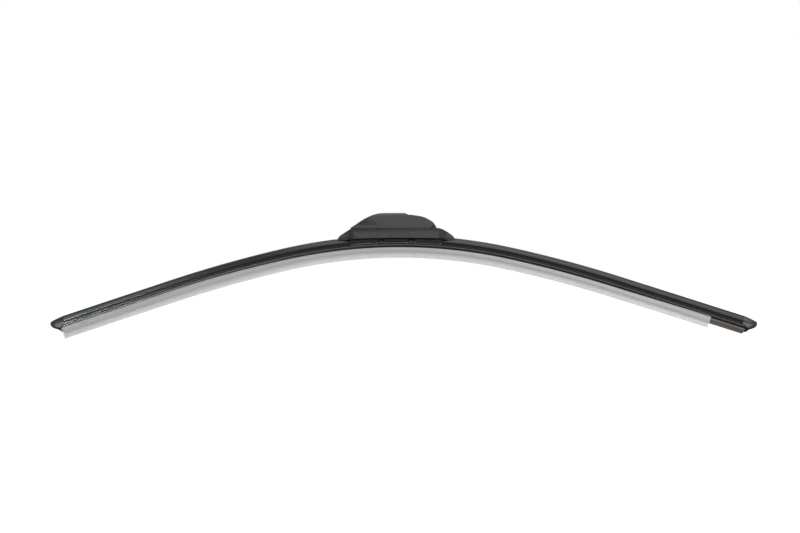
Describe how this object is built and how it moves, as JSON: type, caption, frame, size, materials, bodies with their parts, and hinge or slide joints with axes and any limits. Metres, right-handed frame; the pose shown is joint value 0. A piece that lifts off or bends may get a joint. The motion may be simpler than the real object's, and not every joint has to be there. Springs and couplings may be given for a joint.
{
  "type": "wiper blade",
  "caption": "Flat beam wiper blade with two sprung rails in a rubber element, spoilers, end caps, a hinged-lid arm connector and a clear protective sleeve on the lip.",
  "frame": {"origin": "axis of the pivot rivet, at the middle of the connector", "axes": "+X along the blade, +Y across it to the rear face, +Z away from the glass"},
  "size_m": [0.5933, 0.0208, 0.1037],
  "materials": {
    "wiping_rubber": "matt black rubber",
    "spring_steel": "rolled spring steel strip",
    "spoiler_rubber": "satin black extruded rubber",
    "cap_plastic": "satin black moulded plastic",
    "clear_sleeve": "milky clear extruded plastic",
    "bracket_steel": "black coated steel",
    "rivet_steel": "plated steel",
    "adapter_plastic": "black moulded plastic",
    "base_plastic": "satin black moulded plastic",
    "lid_plastic": "satin black moulded plastic"
  },
  "bodies": {
    "adapter": {"arm_adapter": "adapter_plastic"},
    "blade": {"rubber_element": "wiping_rubber", "rail_front": "spring_steel", "rail_rear": "spring_steel", "spoiler_left": "spoiler_rubber", "spoiler_right": "spoiler_rubber", "end_cap_left": "cap_plastic", "end_cap_right": "cap_plastic", "protective_sleeve": "clear_sleeve", "rail_bracket": "bracket_steel", "pivot_rivet": "rivet_steel", "spacer_tube": "rivet_steel", "connector_base": "base_plastic"},
    "lid": {"connector_lid": "lid_plastic"}
  },
  "joints": [
    {"name": "blade_pivot", "type": "hinge", "parent": "adapter", "child": "blade", "pos_m": [0, 0, 0], "axis": [0, 1, 0], "range_deg": [-8, 8]},
    {"name": "lid_hinge", "type": "hinge", "parent": "blade", "child": "lid", "pos_m": [0.0316, 0, 0.0026], "axis": [0, 1, 0], "range_deg": [0, 95]}
  ]
}
